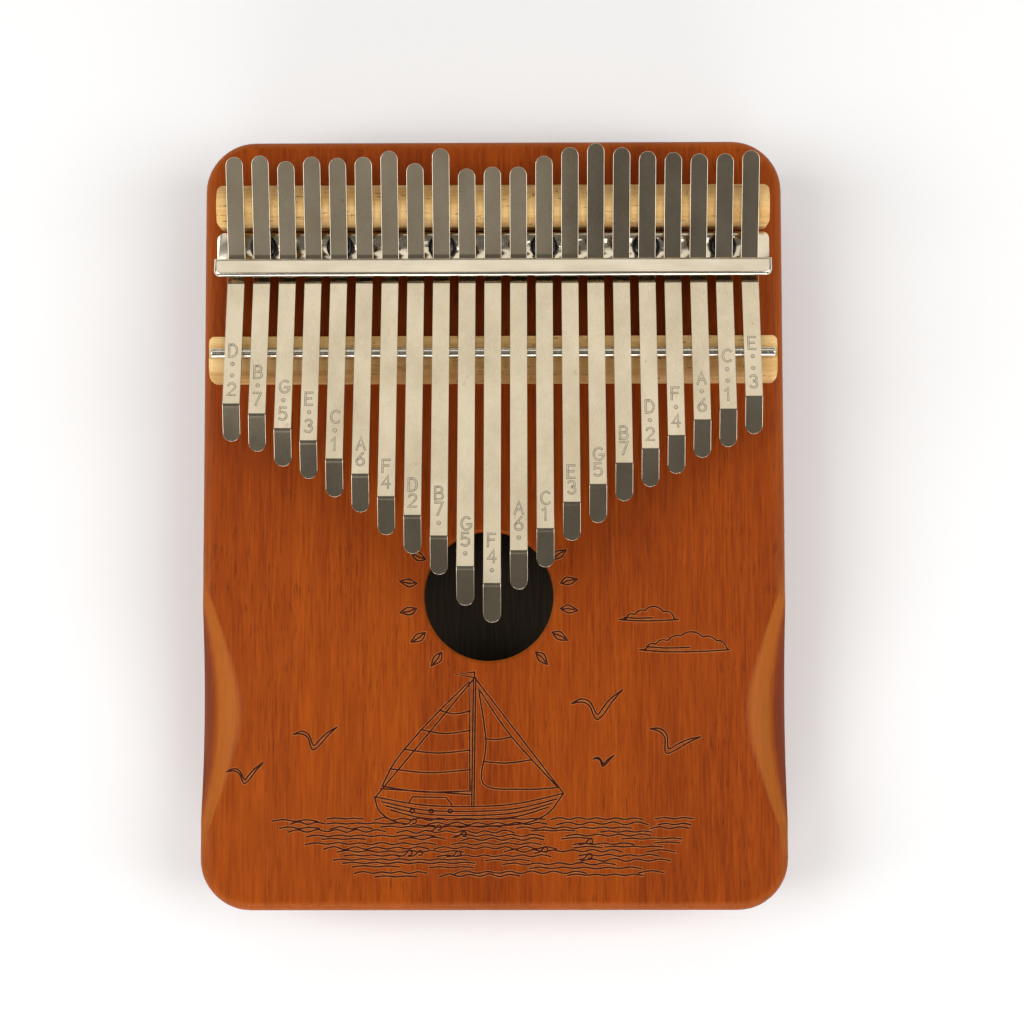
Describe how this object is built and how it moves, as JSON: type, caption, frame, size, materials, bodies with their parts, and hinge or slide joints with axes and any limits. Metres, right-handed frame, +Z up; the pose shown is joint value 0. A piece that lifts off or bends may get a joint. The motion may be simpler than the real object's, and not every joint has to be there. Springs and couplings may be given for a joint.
{
  "type": "mbira",
  "caption": "Box mbira (kalimba) with spring-steel tines clamped between a wooden rest and a steel bridge rod over a hollow hardwood sound box",
  "frame": {"origin": "middle of the flat back that the box rests on", "axes": "+X across the tines to the player's right, +Y towards the tines' tails, +Z up out of the face"},
  "size_m": [0.1436, 0.19, 0.0549],
  "materials": {
    "mahogany": "satin lacquer",
    "maple": "satin lacquer",
    "tine_steel": "fine brushed",
    "plated_bar": "nickel plated",
    "rod_steel": "polished",
    "dark_screw": "blackened"
  },
  "bodies": {
    "sound_box": {"body_shell": "mahogany", "back_plate": "mahogany", "rear_rest": "maple", "front_bridge": "maple", "bridge_rod": "rod_steel", "clamp_bar": "plated_bar", "clamp_screws": "dark_screw"},
    "tine_01": {"tine_01": "tine_steel"},
    "tine_02": {"tine_02": "tine_steel"},
    "tine_03": {"tine_03": "tine_steel"},
    "tine_04": {"tine_04": "tine_steel"},
    "tine_05": {"tine_05": "tine_steel"},
    "tine_06": {"tine_06": "tine_steel"},
    "tine_07": {"tine_07": "tine_steel"},
    "tine_08": {"tine_08": "tine_steel"},
    "tine_09": {"tine_09": "tine_steel"},
    "tine_10": {"tine_10": "tine_steel"},
    "tine_11": {"tine_11": "tine_steel"},
    "tine_12": {"tine_12": "tine_steel"},
    "tine_13": {"tine_13": "tine_steel"},
    "tine_14": {"tine_14": "tine_steel"},
    "tine_15": {"tine_15": "tine_steel"},
    "tine_16": {"tine_16": "tine_steel"},
    "tine_17": {"tine_17": "tine_steel"},
    "tine_18": {"tine_18": "tine_steel"},
    "tine_19": {"tine_19": "tine_steel"},
    "tine_20": {"tine_20": "tine_steel"},
    "tine_21": {"tine_21": "tine_steel"}
  },
  "joints": [
    {"name": "tine_01_bend", "type": "hinge", "parent": "sound_box", "child": "tine_01", "pos_m": [-0.063, 0.0406, 0.03985], "axis": [1, 0, 0], "range_deg": [-0.91, 1.81], "stiffness_Nm_per_rad": 5.55, "deforming": ["tine_01"]},
    {"name": "tine_02_bend", "type": "hinge", "parent": "sound_box", "child": "tine_02", "pos_m": [-0.0567, 0.0406, 0.03985], "axis": [1, 0, 0], "range_deg": [-1.07, 2.15], "stiffness_Nm_per_rad": 5.21, "deforming": ["tine_02"]},
    {"name": "tine_03_bend", "type": "hinge", "parent": "sound_box", "child": "tine_03", "pos_m": [-0.0504, 0.0406, 0.03985], "axis": [1, 0, 0], "range_deg": [-1.35, 2.69], "stiffness_Nm_per_rad": 4.79, "deforming": ["tine_03"]},
    {"name": "tine_04_bend", "type": "hinge", "parent": "sound_box", "child": "tine_04", "pos_m": [-0.0441, 0.0406, 0.03985], "axis": [1, 0, 0], "range_deg": [-1.5, 3], "stiffness_Nm_per_rad": 4.48, "deforming": ["tine_04"]},
    {"name": "tine_05_bend", "type": "hinge", "parent": "sound_box", "child": "tine_05", "pos_m": [-0.0378, 0.0406, 0.03985], "axis": [1, 0, 0], "range_deg": [-1.5, 3], "stiffness_Nm_per_rad": 4.1, "deforming": ["tine_05"]},
    {"name": "tine_06_bend", "type": "hinge", "parent": "sound_box", "child": "tine_06", "pos_m": [-0.0315, 0.0406, 0.03985], "axis": [1, 0, 0], "range_deg": [-1.5, 3], "stiffness_Nm_per_rad": 3.83, "deforming": ["tine_06"]},
    {"name": "tine_07_bend", "type": "hinge", "parent": "sound_box", "child": "tine_07", "pos_m": [-0.0252, 0.0406, 0.03985], "axis": [1, 0, 0], "range_deg": [-1.5, 3], "stiffness_Nm_per_rad": 3.49, "deforming": ["tine_07"]},
    {"name": "tine_08_bend", "type": "hinge", "parent": "sound_box", "child": "tine_08", "pos_m": [-0.0189, 0.0406, 0.03985], "axis": [1, 0, 0], "range_deg": [-1.5, 3], "stiffness_Nm_per_rad": 3.25, "deforming": ["tine_08"]},
    {"name": "tine_09_bend", "type": "hinge", "parent": "sound_box", "child": "tine_09", "pos_m": [-0.0126, 0.0406, 0.03985], "axis": [1, 0, 0], "range_deg": [-1.5, 3], "stiffness_Nm_per_rad": 3.02, "deforming": ["tine_09"]},
    {"name": "tine_10_bend", "type": "hinge", "parent": "sound_box", "child": "tine_10", "pos_m": [-0.0063, 0.0406, 0.03985], "axis": [1, 0, 0], "range_deg": [-1.5, 3], "stiffness_Nm_per_rad": 2.74, "deforming": ["tine_10"]},
    {"name": "tine_11_bend", "type": "hinge", "parent": "sound_box", "child": "tine_11", "pos_m": [0, 0.0406, 0.03985], "axis": [1, 0, 0], "range_deg": [-1.5, 3], "stiffness_Nm_per_rad": 2.6, "deforming": ["tine_11"]},
    {"name": "tine_12_bend", "type": "hinge", "parent": "sound_box", "child": "tine_12", "pos_m": [0.0063, 0.0406, 0.03985], "axis": [1, 0, 0], "range_deg": [-1.5, 3], "stiffness_Nm_per_rad": 2.87, "deforming": ["tine_12"]},
    {"name": "tine_13_bend", "type": "hinge", "parent": "sound_box", "child": "tine_13", "pos_m": [0.0126, 0.0406, 0.03985], "axis": [1, 0, 0], "range_deg": [-1.5, 3], "stiffness_Nm_per_rad": 3.09, "deforming": ["tine_13"]},
    {"name": "tine_14_bend", "type": "hinge", "parent": "sound_box", "child": "tine_14", "pos_m": [0.0189, 0.0406, 0.03985], "axis": [1, 0, 0], "range_deg": [-1.5, 3], "stiffness_Nm_per_rad": 3.4, "deforming": ["tine_14"]},
    {"name": "tine_15_bend", "type": "hinge", "parent": "sound_box", "child": "tine_15", "pos_m": [0.0252, 0.0406, 0.03985], "axis": [1, 0, 0], "range_deg": [-1.5, 3], "stiffness_Nm_per_rad": 3.65, "deforming": ["tine_15"]},
    {"name": "tine_16_bend", "type": "hinge", "parent": "sound_box", "child": "tine_16", "pos_m": [0.0315, 0.0406, 0.03985], "axis": [1, 0, 0], "range_deg": [-1.5, 3], "stiffness_Nm_per_rad": 4.01, "deforming": ["tine_16"]},
    {"name": "tine_17_bend", "type": "hinge", "parent": "sound_box", "child": "tine_17", "pos_m": [0.0378, 0.0406, 0.03985], "axis": [1, 0, 0], "range_deg": [-1.5, 3], "stiffness_Nm_per_rad": 4.29, "deforming": ["tine_17"]},
    {"name": "tine_18_bend", "type": "hinge", "parent": "sound_box", "child": "tine_18", "pos_m": [0.0441, 0.0406, 0.03985], "axis": [1, 0, 0], "range_deg": [-1.5, 3], "stiffness_Nm_per_rad": 4.58, "deforming": ["tine_18"]},
    {"name": "tine_19_bend", "type": "hinge", "parent": "sound_box", "child": "tine_19", "pos_m": [0.0504, 0.0406, 0.03985], "axis": [1, 0, 0], "range_deg": [-1.2, 2.4], "stiffness_Nm_per_rad": 5, "deforming": ["tine_19"]},
    {"name": "tine_20_bend", "type": "hinge", "parent": "sound_box", "child": "tine_20", "pos_m": [0.0567, 0.0406, 0.03985], "axis": [1, 0, 0], "range_deg": [-1.01, 2.03], "stiffness_Nm_per_rad": 5.32, "deforming": ["tine_20"]},
    {"name": "tine_21_bend", "type": "hinge", "parent": "sound_box", "child": "tine_21", "pos_m": [0.063, 0.0406, 0.03985], "axis": [1, 0, 0], "range_deg": [-0.81, 1.62], "stiffness_Nm_per_rad": 5.78, "deforming": ["tine_21"]}
  ]
}
